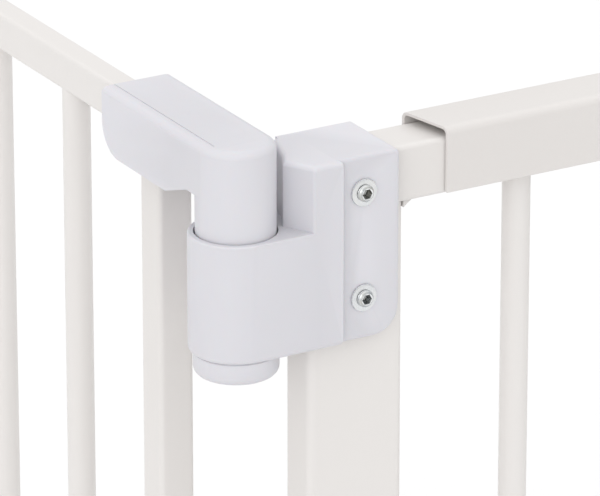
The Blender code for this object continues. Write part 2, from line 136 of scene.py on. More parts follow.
def rectangle(u0, u1, v0, v1, radius=0.0, steps=6):
    return section([(u0, v0, radius), (u1, v0, radius), (u1, v1, radius), (u0, v1, radius)], steps)


def circle(u, v, radius, steps=48):
    turns = [math.tau * k / steps for k in range(steps)]
    return [Vector((u + radius * math.cos(a), v + radius * math.sin(a))) for a in turns]


def spot(axis, point, height):
    """The place in space of an outline's point, on the plane across an axis."""
    u, v = point
    return {"X": Vector((height, u, v)), "Y": Vector((u, height, v)), "Z": Vector((u, v, height))}[axis]


# ---- solids -----------------------------------------------------------------------------------------
def loft(loops, closed=False):
    """A solid through loops of equally many points: capped at both ends or, if closed, a ring."""
    drawn = bmesh.new()
    rows = [[drawn.verts.new(point) for point in loop] for loop in loops]
    for low, high in zip(rows, rows[1:] + (rows[:1] if closed else [])):
        for i in range(len(low)):
            drawn.faces.new((low[i - 1], low[i], high[i], high[i - 1]))
    if not closed:
        drawn.faces.new(reversed(rows[0]))
        drawn.faces.new(rows[-1])
    bmesh.ops.remove_doubles(drawn, verts=drawn.verts, dist=1e-6)
    bmesh.ops.dissolve_degenerate(drawn, edges=drawn.edges, dist=1e-7)
    bmesh.ops.recalc_face_normals(drawn, faces=drawn.faces)
    mesh = bpy.data.meshes.new("solid")
    drawn.to_mesh(mesh)
    drawn.free()
    piece = bpy.data.objects.new("solid", mesh)
    bpy.context.scene.collection.objects.link(piece)
    return piece


def levels(low, high, low_edge, high_edge, steps=4):
    """(height, inset) of each loop of a solid whose two end edges are rounded."""
    turns = [math.pi / 2 * k / steps for k in range(steps + 1)]
    first = [(low + low_edge * (1 - math.cos(a)), low_edge * (1 - math.sin(a))) for a in turns]
    last = [(high - high_edge * (1 - math.sin(a)), high_edge * (1 - math.cos(a))) for a in turns]
    return (first if low_edge else [(low, 0)]) + (last if high_edge else [(high, 0)])


def prism(outline, low, high, axis="Z", low_edge=0.0, high_edge=0.0):
    """An outline extruded along an axis, with rounded edges at its two ends."""
    return loft([[spot(axis, point, height) for point in outline(shrink)]
                 for height, shrink in levels(low, high, low_edge, high_edge)])


def tube(outline, wall, low, high, axis, edge=0.0002):
    """An outline's wall extruded along an axis, open at both ends."""
    rows = levels(low, high, edge, edge, 2) + [(high, wall), (low, wall)]
    return loft([[spot(axis, point, height) for point in outline(shrink)] for height, shrink in rows],
                closed=True)


def lathe(profile, direction=UP, at=(0, 0, 0), steps=64, closed=False):
    """A solid of revolution through (radius, height) points."""
    turn = UP.rotation_difference(Vector(direction)).to_matrix()
    ring = [math.tau * k / steps for k in range(steps)]
    return loft([[Vector(at) + turn @ Vector((r * math.cos(a), r * math.sin(a), h)) for a in ring]
                 for r, h in profile], closed)


def rod(radius, low, high, direction=UP, at=(0, 0, 0), steps=64):
    return lathe([(0, low), (radius, low), (radius, high), (0, high)], direction, at, steps)


def block(x, y, z):
    return prism(rectangle(*x, *y), *z)


def combine(piece, operation, *tools):
    """Joins tools to a piece, cuts them from it or keeps what they share with it, and removes them."""
    for tool in tools:
        step = piece.modifiers.new(operation, "BOOLEAN")
        step.operation = operation
        step.object = tool
        shaped = piece.evaluated_get(bpy.context.evaluated_depsgraph_get())
        mesh = bpy.data.meshes.new_from_object(shaped)
        piece.modifiers.clear()
        piece.data = mesh
        bpy.data.objects.remove(tool, do_unlink=True)
    return piece


def join(piece, *tools):
    return combine(piece, "UNION", *tools)


def cut(piece, *tools):
    return combine(piece, "DIFFERENCE", *tools)


def groove(at, surface, start, end, depth, floor, mouth, axis="Y"):
    """A cutter for a groove along an axis, sunk into a level surface. It is given the groove's depth, and its
    half widths on its floor and 1 mm above the surface."""
    above = surface + 0.001
    return prism(section([(at - floor, surface - depth, 0), (at + floor, surface - depth, 0),
                          (at + mouth, above, 0), (at - mouth, above, 0)]), start, end, axis)


def settle(piece, planes, reach=0.0001):
    """Moves the points that lie this near a plane onto it, then merges the faces that now lie flush.
    The planes are (axis number, value)."""
    shaped = bmesh.new()
    shaped.from_mesh(piece.data)
    for vertex in shaped.verts:
        for axis, value in planes:
            if abs(vertex.co[axis] - value) < reach:
                vertex.co[axis] = value
    bmesh.ops.remove_doubles(shaped, verts=shaped.verts, dist=reach / 2)
    bmesh.ops.dissolve_degenerate(shaped, edges=shaped.edges, dist=reach / 10)
    bmesh.ops.dissolve_limit(shaped, angle_limit=math.radians(0.5), verts=shaped.verts, edges=shaped.edges)
    shaped.to_mesh(piece.data)
    shaped.free()


# ---- materials --------------------------------------------------------------------------------------
class Surface:
    """A material under construction: its nodes, and its Principled shader."""

    def __init__(self, name):
        self.material = bpy.data.materials.new(name)
        self.material.use_nodes = True
        self.tree = self.material.node_tree
        self.shader = self.tree.nodes["Principled BSDF"]
        self.place = self.tree.nodes.new("ShaderNodeTexCoord").outputs["Object"]

    def link(self, source, target):
        self.tree.links.new(source, target)

    def noise(self, scale, detail=2.0, stretch=(1, 1, 1)):
        """Noise with this many features to the metre."""
        spread = self.tree.nodes.new("ShaderNodeMapping")
        spread.inputs["Scale"].default_value = stretch
        self.link(self.place, spread.inputs["Vector"])
        made = self.tree.nodes.new("ShaderNodeTexNoise")
        made.inputs["Scale"].default_value = scale
        made.inputs["Detail"].default_value = detail
        self.link(spread.outputs["Vector"], made.inputs["Vector"])
        return made.outputs["Fac"]

    def ramp(self, source, low, high, start, end):
        """A value that goes from start to end as the source goes from low to high."""
        made = self.tree.nodes.new("ShaderNodeMapRange")
        for name, value in (("From Min", low), ("From Max", high), ("To Min", start), ("To Max", end)):
            made.inputs[name].default_value = value
        self.link(source, made.inputs["Value"])
        return made.outputs["Result"]

    def blend(self, factor, first, second):
        """A colour between two, each either a colour or another node's output."""
        made = self.tree.nodes.new("ShaderNodeMix")
        made.data_type = "RGBA"
        self.link(factor, made.inputs["Factor"])
        for socket, colour in ((made.inputs[6], first), (made.inputs[7], second)):
            if isinstance(colour, tuple):
                socket.default_value = (*colour, 1)
            else:
                self.link(colour, socket)
        return made.outputs[2]

    def edges(self, low=0.51, high=0.56):
        """How much a spot lies on an outer edge, from 0 to 1."""
        return self.ramp(self.tree.nodes.new("ShaderNodeNewGeometry").outputs["Pointiness"], low, high, 0, 1)

    def recess_shade(self, reach):
        """How deep a spot lies in a hollow narrower than this reach, from 0 to 1: the mask for painted shade
        in hollows.
        """
        made = self.tree.nodes.new("ShaderNodeAmbientOcclusion")
        made.samples = 8
        made.only_local = True
        made.inputs["Distance"].default_value = reach
        return self.ramp(made.outputs["AO"], 0.35, 0.75, 1, 0)

    def bump(self, layers):
        """Relief from (height source, distance) layers."""
        below = None
        for source, distance in layers:
            made = self.tree.nodes.new("ShaderNodeBump")
            made.inputs["Strength"].default_value = 1.0
            made.inputs["Distance"].default_value = distance
            self.link(source, made.inputs["Height"])
            if below:
                self.link(below, made.inputs["Normal"])
            below = made.outputs["Normal"]
        self.link(below, self.shader.inputs["Normal"])

    def dress(self, colour, roughness):
        self.link(colour, self.shader.inputs["Base Color"])
        self.link(roughness, self.shader.inputs["Roughness"])

    def constant(self, **values):
        for name, value in values.items():
            self.shader.inputs[name.replace("_", " ")].default_value = value


def coated_steel():
    """Cream-white powder coat: orange peel, faint clouds, and a painted highlight that lightens the edges."""
    surface = Surface("powder_coat")
    clouds = surface.ramp(surface.noise(7, 3), 0.35, 0.65, 0, 1)
    body = surface.blend(clouds, (0.650, 0.620, 0.600), (0.674, 0.646, 0.626))
    specks = surface.ramp(surface.noise(1400, 1), 0.70, 0.80, 0, 0.35)
    body = surface.blend(specks, body, (0.59, 0.55, 0.52))
    # painted highlight: the outer edges are lightened to stand in for the light they catch
    body = surface.blend(surface.edges(), body, (0.74, 0.715, 0.695))
    surface.dress(body, surface.ramp(surface.noise(60, 3), 0.3, 0.7, 0.34, 0.48))
    surface.bump([(surface.noise(420, 1), 0.00005), (surface.noise(1600, 2), 0.000015)])
    surface.constant(Coat_Weight=0.12, Coat_Roughness=0.22)
    return surface.material


def moulded_plastic(name, light, shade):
    """Injection-moulded plastic: a fine spark-eroded texture, faint flow marks, and a painted highlight on
    the edges.
    """
    surface = Surface(name)
    flow = surface.ramp(surface.noise(16, 3, (1, 1, 0.4)), 0.35, 0.65, 0, 1)
    body = surface.blend(flow, shade, light)
    # painted highlight: the outer edges are lightened by 6 % to stand in for the light they catch
    body = surface.blend(surface.edges(), body, tuple(min(1.0, 1.06 * c) for c in light))
    surface.dress(body, surface.ramp(surface.noise(90, 3), 0.3, 0.7, 0.36, 0.48))
    surface.bump([(surface.noise(2600, 2), 0.000012), (surface.noise(260, 1), 0.00002)])
    surface.constant(Subsurface_Weight=0.06, Subsurface_Scale=0.002)
    return surface.material


def zinc_plate():
    """Zinc-plated steel: a bluish film with warm patches, fine crystals, worn bright edges, and painted shade
    that darkens its hollows.
    """
    surface = Surface("zinc_plate")
    film = surface.ramp(surface.noise(180, 3), 0.35, 0.65, 0, 1)
    body = surface.blend(film, (0.47, 0.50, 0.52), (0.58, 0.57, 0.53))
    body = surface.blend(surface.edges(), body, (0.83, 0.84, 0.85))
    # painted shade: hollows such as the bolts' sockets are darkened to near black where ambient occlusion
    # finds them
    body = surface.blend(surface.recess_shade(0.002), body, (0.10, 0.095, 0.085))
    surface.dress(body, surface.ramp(surface.noise(700, 3), 0.3, 0.7, 0.22, 0.42))
    surface.bump([(surface.noise(2400, 2), 0.00002)])
    surface.constant(Metallic=1.0)
    return surface.material


def wall_rubber():
    """Grey rubber: a dull dusty surface with a coarse moulded grain."""
    surface = Surface("wall_rubber")
    dust = surface.ramp(surface.noise(120, 4), 0.4, 0.7, 0, 0.6)
    body = surface.blend(dust, (0.055, 0.056, 0.060), (0.115, 0.112, 0.108))
    body = surface.blend(surface.edges(), body, (0.16, 0.155, 0.15))
    surface.dress(body, surface.ramp(surface.noise(300, 2), 0.3, 0.7, 0.62, 0.85))
    surface.bump([(surface.noise(1500, 2), 0.00005)])
    return surface.material


MATERIALS = {
    "steel": (coated_steel(), "frame_coating"),
    "plastic": (moulded_plastic("white_plastic", (0.636, 0.629, 0.664), (0.612, 0.606, 0.640)),
                "moulded_plastic"),
    "zinc": (zinc_plate(), "zinc_plating"),
    "rubber": (wall_rubber(), "wall_pad"),
}


def seal(piece):
    """Fills any pinhole that cutting has left."""
    shaped = bmesh.new()
    shaped.from_mesh(piece.data)
    bmesh.ops.holes_fill(shaped, edges=[edge for edge in shaped.edges if edge.is_boundary])
    bmesh.ops.recalc_face_normals(shaped, faces=shaped.faces)
    shaped.to_mesh(piece.data)
    shaped.free()


def stand_for(node, piece, kind, sharp=32):
    """Dresses a finished piece and lets it stand for a node, on that node's body."""
    material, slot = MATERIALS[kind]
    seal(piece)
    piece.name = piece.data.name = node + "_detail"
    piece.data.materials.clear()
    piece.data.materials.append(material)
    piece.data.shade_smooth()
    piece.data.set_sharp_from_angle(angle=math.radians(sharp))
    normals = piece.modifiers.new("weighted_normals", "WEIGHTED_NORMAL")
    normals.keep_sharp = True
    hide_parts(node)
    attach(piece, frame["nodes"][node]["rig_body"])
    return piece


# ---- steel tubes and bars ---------------------------------------------------------------------------
def box_outline(node, axis, radius, steps=6):
    """The section of a node's box across an axis, and where it starts and ends along the axis."""
    low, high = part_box(node)
    u, v, w = {"X": (1, 2, 0), "Y": (0, 2, 1), "Z": (0, 1, 2)}[axis]
    return rectangle(low[u], high[u], low[v], high[v], radius, steps), low[w], high[w]


def square_tube(node, axis, radius, wall=TUBE_WALL):
    outline, low, high = box_outline(node, axis, radius)
    return tube(outline, wall, low, high, axis)


def round_bar(node, sunk):
    """A round tube whose ends run this far into the rails, past their rounded edges."""
    low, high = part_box(node)
    middle = (low + high) / 2
    radius = (high.x - low.x) / 2
    start, end = low.z - sunk, high.z + sunk
    profile = [(radius - BAR_WALL, start), (radius, start), (radius, end), (radius - BAR_WALL, end)]
    stand_for(node, lathe(profile, UP, (middle.x, middle.y, 0), 48, closed=True), "steel")


def holes_through(piece, centres, radius, direction, reach=0.1):
    return cut(piece, *[rod(radius, -reach, reach, direction, centre, 32) for centre in centres])


def sleeved_rail(node, start):
    """A side-panel rail whose end is slipped over the hinge post, with a small gusset under it."""
    low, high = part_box(node)
    post_low, post_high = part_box("hinge_post")
    outline = rectangle(low.y, high.y, low.z, high.z, 0.0022)
    rail = tube(outline, TUBE_WALL, start, high.x, "X", 0.0003)
    length, height, sunk = 0.0042, 0.0030, 0.0008
    face = post_high.x
    gusset = section([(face - 0.002, low.z + sunk, 0), (face - 0.002, low.z - height, 0),
                      (face + 0.0002, low.z - height, 0), (face + length, low.z + 0.0001, 0),
                      (face + length, low.z + sunk, 0)])
    join(rail, prism(gusset, low.y + 0.0022, high.y - 0.0022, "Y"))
    notch_top = high.z - TUBE_WALL - 0.0003
    cut(rail, block((start - 0.01, post_high.x), (post_low.y, post_high.y), (low.z - 0.01, notch_top)))
    stand_for(node, rail, "steel")


def steel_frame():
    for node, axis, radius in (("threshold_bar", "X", 0.003), ("door_top_rail", "Y", 0.0018),
                               ("door_bottom_rail", "Y", 0.0018), ("hinge_stile", "Z", 0.0025),
                               ("latch_stile", "Z", 0.0025)):
        stand_for(node, square_tube(node, axis, radius), "steel")
    for level, rail in (("upper", "inner_top_rail"), ("lower", "inner_bottom_rail")):
        sleeved_rail(rail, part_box(level + "_bracket")[1].x + 0.0002)
    for node in frame["nodes"]:
        if node.startswith(("door_bar_", "side_bar_")):
            round_bar(node, 0.0018)
    round_bar("outer_bar", 0.0008)


def posts():
    """The three posts, with the holes for the bracket bolts and for the spindles."""
    hinge_post = square_tube("hinge_post", "Z", POST_CORNER, POST_WALL)
    bolts = [centre_of(f"{level}_bolt_{k}") for level in ("upper", "lower") for k in (1, 2)]
    stand_for("hinge_post", holes_through(hinge_post, bolts, BOLT_HOLE, (0, 1, 0)), "steel")
    for node, side, inner in (("latch_post", "latch_side", 1), ("wall_post", "panel_side", -1)):
        post = square_tube(node, "Z", POST_CORNER, POST_WALL)
        low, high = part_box(node)
        face = low.x if inner > 0 else high.x
        centres = [Vector((face, 0, centre_of(f"{side}_{level}_wheel").z)) for level in ("lower", "upper")]
        stand_for(node, holes_through(post, centres, SPINDLE_HOLE, (1, 0, 0), 0.004), "steel")


def channel(node, closed_above, skew=0.0057):
    """A folded sheet channel that sleeves a rail, with rounded folds and a start that is cut askew."""
    low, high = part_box(node)
    half = (high.y - low.y) / 2
    wall = 0.0015
    base, tip, way = (high.z, low.z, -1) if closed_above else (low.z, high.z, 1)
    fold, inner_fold, lip = 0.0034, 0.0019, 0.0004
    outline = section([(-half, base, fold), (half, base, fold), (half, tip, lip), (half - wall, tip, lip),
                       (half - wall, base + way * wall, inner_fold),
                       (wall - half, base + way * wall, inner_fold), (wall - half, tip, lip),
                       (-half, tip, lip)], 8)
    sleeve = prism(outline, low.x, high.x, "X", 0.0003, 0.0003)
    for vertex in sleeve.data.vertices:
        if vertex.co.x < low.x + 0.001:
            vertex.co.x -= skew * (vertex.co.y - low.y) / (high.y - low.y)
    stand_for(node, sleeve, "steel")


# ---- hinge ------------------------------------------------------------------------------------------
ARM_HOLLOW = 0.0087  # half the width of the hollow for a rail and a stile
HOLLOW_START = 0.0445


def quarter(across, down, steps=8):
    """(in, down) of a quarter ellipse that starts beside a rim and ends on top of it, from that rim."""
    turns = [math.pi / 2 * k / steps for k in range(steps + 1)]
    return [(across * (1 - math.cos(a)), down * (1 - math.sin(a))) for a in turns]


def upper_arm():
    """The moulded arm over the top rail's end, with the barrel that drops into the socket."""
    low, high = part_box("upper_hinge_arm")
    top, end, radius = high.z, high.y, HINGE_RADIUS
    under, raised_under = top - 0.029, top - 0.0223
    toe, pin_bore, rounding = 0.0012, 0.0063, quarter(0.0050, 0.0034)
    barrel = lathe([(0, low.z), (radius - toe, low.z), (radius, low.z + toe),
                    *[(radius - back, top - down) for back, down in rounding], (0, top)], steps=96)
    crown = [Vector((radius - back, top - down)) for back, down in rounding]
    across = [Vector((-radius, under - 0.001)), Vector((radius, under - 0.001)), *crown,
              *[Vector((-u, v)) for u, v in reversed(crown)]]
    arm = prism(lambda shrink: across, 0.0006, end + 0.001, "Y")
    side = section([(-0.001, under, 0), (end, under, 0.014), (end, top, 0.0020), (-0.001, top, 0)], 10)
    combine(arm, "INTERSECT", prism(side, -radius - 0.0002, radius + 0.0002, "X", 0.0010, 0.0010))
    slope_start, slope_end, wide = 0.0112, 0.0300, 0.03
    cut(arm,
        prism(section([(-wide, under - PAST, 0), (slope_end, under - PAST, 0), (slope_end, under, 0),
                       (slope_start, raised_under, 0), (-wide, raised_under, 0)]), -wide, wide, "X"),
        block((-radius - PAST, radius + PAST), (-PAST, 0.0008), (under - PAST, top + PAST)))
    join(barrel, arm)
    settle(barrel, [(0, -radius), (0, radius), (2, top)])
    groove_x = rounding[-1][0] + 0.0003 - radius
    cut(barrel,
        block((-ARM_HOLLOW, ARM_HOLLOW), (HOLLOW_START, end + PAST), (under - PAST, top - SKIN)),
        rod(pin_bore, 0, top - 0.008),
        groove(groove_x, top, -0.003, end - 0.0008, 0.0003, 0.0002, 0.0005))
    stand_for("upper_hinge_arm", barrel, "plastic")


def lower_arm():
    """The arm under the bottom rail's end, with the stub that turns in the lower socket."""
    low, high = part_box("lower_hinge_arm")
    radius, end, top = HINGE_RADIUS, high.y, high.z
    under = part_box("door_bottom_rail")[0].z - 0.0048
    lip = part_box("lower_bracket")[0].z + LIP_HEIGHT + POST_GAP
    crown = [(radius - back, top - down) for back, down in quarter(SHOULDER, SHOULDER)]
    stub = lathe([(0, low.z), (JOURNAL - 0.0006, low.z), (JOURNAL, low.z + 0.0006), (JOURNAL, lip),
                  (radius - 0.0005, lip), (radius, lip + 0.0005), *crown, (0, top)], steps=96)
    side = section([(0.0006, under, 0), (end, under, 0.003), (end, top, 0.014), (0.0006, top, 0)], 10)
    arm = prism(side, -radius, radius, "X", SHOULDER, SHOULDER)
    cut(arm, block((-radius - PAST, radius + PAST), (-PAST, 0.0008), (under - PAST, top + PAST)))
    join(stub, arm)
    settle(stub, [(0, -radius), (0, radius), (2, top)])
    cut(stub, block((-ARM_HOLLOW, ARM_HOLLOW), (HOLLOW_START, end + PAST), (under + SKIN, top + PAST)))
    stand_for("lower_hinge_arm", stub, "plastic")


def bracket(level, capped):
    """The bracket round the post: the hinge socket, its foot, the raised block and the bolted plate.
    Faces that would lie in one plane are a hair apart, so that the pieces join cleanly."""
    low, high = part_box(level + "_bracket")
    front, plate_front = low.y, -0.0175
    back, step, end, base, top = high.y, 0.0399, high.x, low.z, high.z
    rim = base + {"upper": 0.0519, "lower": 0.0218}[level]
    radius = -front
    foot = section([(-radius, front, radius - HAIR), (step - HAIR, front, 0.0017),
                    (step - HAIR, back - HAIR, 0), (0.022, back - HAIR, 0.003), (0.0045, radius, 0.006),
                    (-radius, radius, radius - HAIR)], 16)
    raised = section([(0.0258, front - HAIR, 0.0024), (step, front - HAIR, 0.0013), (step, back, 0),
                      (0.0285, back, 0.003), (0.0222, 0.001, 0.003), (0.0183, -0.0063, 0.001)], 8)
    plate = section([(0.030, base - HAIR, 0), (end, base - HAIR, 0.012), (end, top - HAIR, 0.0025),
                     (0.030, top - HAIR, 0)], 12)
    body = prism(foot, base, rim, "Z", 0.0022, 0.0009)
    join(body,
         prism(raised, base + 0.0005, top, "Z", 0.0018, 0.0024),
         prism(plate, plate_front, back - 2 * HAIR, "Y", 0.0018, 0))
    settle(body, [(1, front), (1, back), (2, top), (2, base)])
    cavity_top = top - 0.0023 if capped else top + PAST
    post_low, post_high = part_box("hinge_post")
    cut(body,
        prism(lambda shrink: circle(0, 0, SOCKET_BORE - shrink, 96), base + LIP_HEIGHT, rim + PAST),
        rod(LIP_HOLE, base - PAST, rim, steps=96),
        block((post_low.x - POST_GAP, 0.080), (post_low.y - POST_GAP, post_high.y + POST_GAP),
              (base - PAST, cavity_top)))
    bolts = [centre_of(f"{level}_bolt_{k}") for k in (1, 2)]
    holes_through(body, bolts, BOLT_HOLE, (0, 1, 0))
    stand_for(level + "_bracket", body, "plastic")


def back_shell(level):
    """The flat half of a bracket behind the post, with hexagonal pockets for the nuts."""
    node = level + "_bracket_back"
    low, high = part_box(node)
    outline = section([(low.x, low.z, 0.003), (high.x, low.z, 0.010), (high.x, high.z, 0.003),
                       (low.x, high.z, 0.003)], 8)
    shell = prism(outline, low.y, high.y, "Y", 0, 0.0014)
    for k in (1, 2):
        at = centre_of(f"{level}_bolt_{k}")
        at.y = 0
        holes_through(shell, [at], BOLT_HOLE, (0, 1, 0))
        cut(shell, rod(0.0046, high.y - 0.0030, high.y + 0.01, (0, 1, 0), at, 6))
    stand_for(node, shell, "plastic")


def end_cap():
    """The cap below the socket, turned with a rounded lower edge and a fine parting line."""
    low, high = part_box("hinge_end_cap")
    flange = high.x
    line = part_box("upper_bracket")[0].z - POST_GAP
    soft = 0.0036
    turns = [math.pi / 2 * k / 8 for k in range(9)]
    bowl = [(flange - soft + soft * math.sin(a), low.z + soft - soft * math.cos(a)) for a in turns]
    profile = [(0, low.z), *bowl, (flange, line - 0.0005), (flange - 0.0005, line), (JOURNAL, line),
               (JOURNAL, high.z), (0, high.z)]
    stand_for("hinge_end_cap", lathe(profile, steps=96), "plastic")


def hinge_pin():
    low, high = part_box("hinge_pin")
    profile = [(0.0022, low.z), (high.x - 0.0006, low.z), (high.x, low.z + 0.0006),
               (high.x, high.z - 0.0006), (high.x - 0.0006, high.z), (0.0022, high.z)]
    stand_for("hinge_pin", lathe(profile, closed=True), "zinc")


# ---- fasteners --------------------------------------------------------------------------------------
def hexagon(radius, steps):
    """Six-sided loop of so many points, radius being across its corners."""
    flat = radius * math.cos(math.pi / 6)
    sixth = math.tau / 6
    turns = [math.tau * k / steps for k in range(steps)]
    return [Vector((math.cos(a), math.sin(a))) * flat / math.cos(a % sixth - sixth / 2) for a in turns]


def along(direction, at, rows):
    """Loops placed at heights along a direction."""
    turn = UP.rotation_difference(Vector(direction)).to_matrix()
    return [[Vector(at) + turn @ Vector((*point, height)) for point in loop] for loop, height in rows]


def button_bolt(node):
    """A button-head bolt with a deep hexagonal socket."""
    low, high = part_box(node)
    at = Vector(((low.x + high.x) / 2, 0, (low.z + high.z) / 2))
    steps = 48
    top, bottom = -low.y, -high.y
    radius, shank, socket = (high.x - low.x) / 2, 0.0023, 0.0023
    seat = top - 0.0022
    dome = [(radius * math.cos(a), seat + 0.0004 + (top - seat - 0.0004) * math.sin(a))
            for a in (math.pi / 2 * k / 10 for k in range(6))]
    rows = [(circle(0, 0, 1e-5, steps), bottom), (circle(0, 0, shank - 0.0004, steps), bottom),
            (circle(0, 0, shank, steps), bottom + 0.0004), (circle(0, 0, shank, steps), seat),
            (circle(0, 0, radius, steps), seat)]
    rows += [(circle(0, 0, r, steps), h) for r, h in dome]
    rim = dome[-1][1]
    rows += [(circle(0, 0, socket + 0.0003, steps), rim + 0.0002), (hexagon(socket, steps), rim),
             (hexagon(socket, steps), seat - 0.0004), (hexagon(0.0019, steps), seat - 0.0004),
             (hexagon(0.0017, steps), seat - 0.0018), (hexagon(0.0003, steps), seat - 0.0024)]
    stand_for(node, loft(along((0, -1, 0), at, rows)), "zinc", 28)


def washer(node):
    low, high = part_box(node)
    at = Vector(((low.x + high.x) / 2, 0, (low.z + high.z) / 2))
    outer, bore, seat, top = (high.x - low.x) / 2, 0.0023, -high.y, -low.y
    profile = [(bore, seat), (outer - 0.0001, seat), (outer, seat + 0.0001), (outer, top - 0.0004),
               (outer - 0.0001, top - 0.0002), (outer - 0.0005, top), (bore + 0.0003, top),
               (bore, top - 0.0003)]
    stand_for(node, lathe(profile, (0, -1, 0), at, closed=True), "zinc", 28)


def nut(node):
    """A hexagonal nut with turned chamfers at both faces."""
    low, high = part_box(node)
    at = Vector(((low.x + high.x) / 2, 0, (low.z + high.z) / 2))
    steps, bore, radius = 48, BOLT_HOLE, max(high.x - low.x, high.z - low.z) / 2
    round_end = circle(0, 0, radius * 0.88, steps)
    body = hexagon(radius, steps)
    rows = [(circle(0, 0, bore, steps), low.y), (round_end, low.y), (body, low.y + 0.0004),
            (body, high.y - 0.0004), (round_end, high.y), (circle(0, 0, bore, steps), high.y)]
    stand_for(node, loft(along((0, 1, 0), at, rows), closed=True), "zinc", 28)


def fasteners():
    for level in ("upper", "lower"):
        for k in (1, 2):
            button_bolt(f"{level}_bolt_{k}")
            washer(f"{level}_washer_{k}")
            nut(f"{level}_nut_{k}")


# ---- latch ------------------------------------------------------------------------------------------
def keeper():
    """The cap on the latch post, with a mouth for the door's bolt and a screw cover on top."""
    low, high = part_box("latch_keeper")
    post_low, post_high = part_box("latch_post")
    bolt_z = centre_of("latch_bolt").z
    cap = prism(rectangle(low.x, high.x, low.y, high.y, 0.0045, 8), low.z, high.z, "Z", 0.0008, 0.0035)
    mouth, funnel = 0.0075, 0.0012
    cut(cap,
        block((post_low.x - POST_GAP, post_high.x + POST_GAP),
              (post_low.y - POST_GAP, post_high.y + POST_GAP), (low.z - PAST, post_high.z + POST_GAP)),
        prism(rectangle(-mouth, mouth, bolt_z - mouth, bolt_z + mouth, 0.0012), high.x - 0.014, high.x + 0.01,
              "X"),
        loft([[spot("X", point, height) for point in rectangle(-grown, grown, bolt_z - grown, bolt_z + grown,
                                                               0.0016)()]
              for height, grown in ((high.x - funnel, mouth - 0.0001), (high.x + 0.0005, mouth + 0.0016))]))
    middle = (low.x + high.x) / 2
    cut(cap, lathe([(0.0046, high.z - 0.0005), (0.0050, high.z - 0.0005), (0.0050, high.z + 0.01),
                    (0.0046, high.z + 0.01)], at=(middle, 0, 0), closed=True))
    stand_for("latch_keeper", cap, "plastic")


def latch_housing():
    """The moulded handle on the free end of the top rail, with its slider slot, bolt tunnel and button."""
    low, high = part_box("latch_housing")
    stile = centre_of("latch_stile").y
    start, end, base, top, radius = low.y, high.y, low.z, high.z, high.x
    bolt, button, slider = (centre_of(node) for node in ("latch_bolt", "release_button", "latch_slider"))
    belly, heel = top - 0.0275, stile - 0.012
    side = section([(start, belly, 0.010), (heel, belly, 0.0028), (heel, base, 0.0028), (end, base, 0.004),
                    (end, top, 0.004), (start, top, 0.003)], 10)
    housing = prism(side, low.x, high.x, "X", SHOULDER, SHOULDER)
    tunnel = 0.0063
    groove_x = radius - SHOULDER - 0.0002
    cut(housing,
        block((-ARM_HOLLOW, ARM_HOLLOW), (start - PAST, stile + ARM_HOLLOW), (base - PAST, top - SKIN)),
        block((-tunnel, tunnel), (stile, end + 0.01), (bolt.z - tunnel, bolt.z + tunnel)),
        prism(rectangle(-0.0030, 0.0030, slider.y - 0.0042, slider.y + 0.0162, 0.0029), bolt.z, top + 0.01),
        rod(0.0064, -0.01, 0.0105, (1, 0, 0), (low.x, button.y, button.z), 48),
        lathe([(0.0082, -0.01), (0.0088, -0.01), (0.0088, 0.0004), (0.0082, 0.0004)], (1, 0, 0),
              (low.x, button.y, button.z), closed=True))
    for side_x in (-groove_x, groove_x):
        cut(housing, groove(side_x, top, start + 0.0008, end - 0.003, 0.0004, 0.00025, 0.0004))
    stand_for("latch_housing", housing, "plastic")


def latch_moving_parts():
    """The sliding bolt, its ribbed thumb slider, and the dished push button."""
    low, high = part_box("latch_bolt")
    tongue = section([(low.y, low.z, 0.0006), (high.y, low.z, 0.0022), (high.y, high.z, 0.0022),
                      (low.y, high.z, 0.0006)], 8)
    stand_for("latch_bolt", prism(tongue, low.x, high.x, "X", 0.0006, 0.0006), "plastic")

    low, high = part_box("latch_slider")
    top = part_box("latch_housing")[1].z + POST_GAP
    y0, y1 = low.y, high.y
    middle = (y0 + y1) / 2
    pad = prism(section([(y0, top, 0.0008), (y1, top, 0.0008), (y1 - 0.0010, high.z, 0.0015),
                         (y0 + 0.0010, high.z, 0.0015)], 6), low.x, high.x, "X", 0.0012, 0.0012)
    for k in (-2, -1, 0, 1, 2):
        rib = middle + k * 0.0021
        cut(pad, groove(rib, high.z, low.x + 0.0018, high.x - 0.0018, 0.0008, 0.0003, 0.0006, "X"))
    neck = prism(rectangle(-0.0026, 0.0026, middle - 0.0035, middle + 0.0035, 0.0012), low.z, top + 0.001)
    stand_for("latch_slider", join(pad, neck), "plastic")

    low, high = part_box("release_button")
    middle = (low + high) / 2
    radius, face, tail = (high.z - low.z) / 2, middle.x - low.x, middle.x - high.x
    profile = arcs([(0, tail, 0), (radius, tail, 0.0003), (radius, face, 0.0012),
                    (radius - 0.0014, face, 0.0006), (0.0020, face - 0.0007, 0.0015),
                    (0, face - 0.0008, 0)], 6)
    stand_for("release_button", lathe([tuple(point) for point in profile], (-1, 0, 0), middle, 64), "plastic")


# ---- wall post caps and pressure spindles --------------------------------------------------------------
def post_plug(node, upward):
    """A push-in plug that closes an end of the wall post: a domed lid and a plain stem with a rounded tip."""
    low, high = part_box(node)
    lid = 0.0032 if upward else 0.0027
    lid_low, lid_high = (high.z - lid, high.z) if upward else (low.z, low.z + lid)
    edges = (0.0003, 0.0016) if upward else (0.0012, 0.0003)
    plug = prism(rectangle(low.x, high.x, low.y, high.y, 0.003), lid_low, lid_high, "Z", *edges)
    wall = 0.0019
    stem_low, stem_high = (low.z, lid_low + 0.0005) if upward else (lid_high - 0.0005, high.z)
    join(plug, prism(rectangle(low.x + wall, high.x - wall, low.y + wall, high.y - wall, 0.003), stem_low,
                     stem_high, "Z", 0.001 if upward else 0, 0 if upward else 0.001))
    stand_for(node, plug, "plastic")


